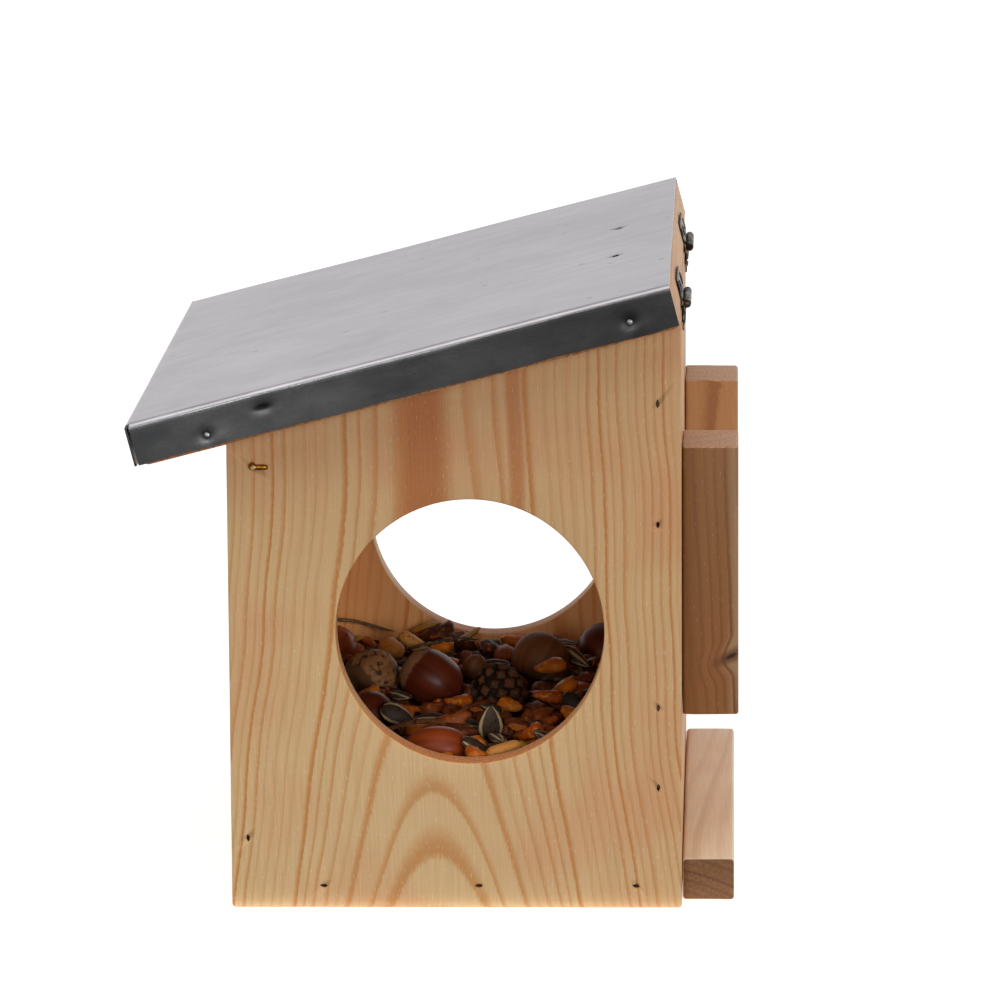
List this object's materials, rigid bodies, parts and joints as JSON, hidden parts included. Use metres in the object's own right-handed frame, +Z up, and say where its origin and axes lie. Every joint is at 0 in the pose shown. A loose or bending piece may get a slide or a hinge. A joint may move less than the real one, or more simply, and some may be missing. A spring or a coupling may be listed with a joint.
{
  "type": "squirrel feeder box",
  "caption": "Pine squirrel feeder box with round side entrances, a hinged sloping lid under folded zinc sheet, rear mounting battens and a bed of nuts and seeds.",
  "frame": {"origin": "middle of the box's footprint, on the underside of the floor", "axes": "+Z up, +Y towards the mounting battens at the back, +X towards the side panel with the brass hook"},
  "size_m": [0.2764, 0.2005, 0.2129],
  "materials": {
    "pine": "planed, untreated",
    "batten_pine": "sawn, untreated",
    "zinc_sheet": "dull galvanised sheet",
    "zinc_steel": "zinc plated",
    "dark_steel": "dull",
    "brass": "satin",
    "seed_mix": "matt, mixed seeds",
    "nut_shell": "smooth shell",
    "cone_scales": "rough scales"
  },
  "bodies": {
    "box": {"side_panel_right": "pine", "side_panel_left": "pine", "front_panel": "pine", "back_panel": "pine", "floor_panel": "pine", "batten_upper_right": "batten_pine", "batten_upper_left": "batten_pine", "batten_lower": "batten_pine", "hinge_right_body_leaf": "zinc_steel", "hinge_left_body_leaf": "zinc_steel", "hinge_body_screw_1": "zinc_steel", "hinge_body_screw_2": "zinc_steel", "hinge_body_screw_3": "zinc_steel", "hinge_body_screw_4": "zinc_steel", "hinge_right_pin": "dark_steel", "hinge_left_pin": "dark_steel", "brad_right_1": "dark_steel", "brad_right_2": "dark_steel", "brad_right_3": "dark_steel", "brad_right_4": "dark_steel", "brad_right_5": "dark_steel", "brad_right_6": "dark_steel", "brad_right_7": "dark_steel", "brad_right_8": "dark_steel", "brad_left_1": "dark_steel", "brad_left_2": "dark_steel", "brad_left_3": "dark_steel", "brad_left_4": "dark_steel", "brad_left_5": "dark_steel", "brad_left_6": "dark_steel", "brad_left_7": "dark_steel", "brad_left_8": "dark_steel", "batten_brad_1": "dark_steel", "batten_brad_2": "dark_steel", "batten_brad_3": "dark_steel", "batten_brad_4": "dark_steel", "batten_brad_5": "dark_steel", "batten_brad_6": "dark_steel", "brass_hook": "brass", "feed_bed": "seed_mix", "hazelnut_1": "nut_shell", "hazelnut_2": "nut_shell", "hazelnut_3": "nut_shell", "woody_cone": "cone_scales"},
    "lid": {"roof_board": "pine", "roof_sheet": "zinc_sheet", "hinge_right_roof_leaf": "zinc_steel", "hinge_left_roof_leaf": "zinc_steel", "hinge_roof_screw_1": "zinc_steel", "hinge_roof_screw_2": "zinc_steel", "hinge_roof_screw_3": "zinc_steel", "hinge_roof_screw_4": "zinc_steel", "roof_nail_right_1": "zinc_steel", "roof_nail_right_2": "zinc_steel", "roof_nail_left_1": "zinc_steel", "roof_nail_left_2": "zinc_steel", "roof_nail_front_1": "zinc_steel", "roof_nail_front_2": "zinc_steel", "roof_nail_top_1": "zinc_steel", "roof_nail_top_2": "zinc_steel"}
  },
  "joints": [
    {"name": "lid_hinge", "type": "hinge", "parent": "box", "child": "lid", "pos_m": [0, 0.07675, 0.19842], "axis": [-1, 0, 0], "range_deg": [0, 105]}
  ]
}
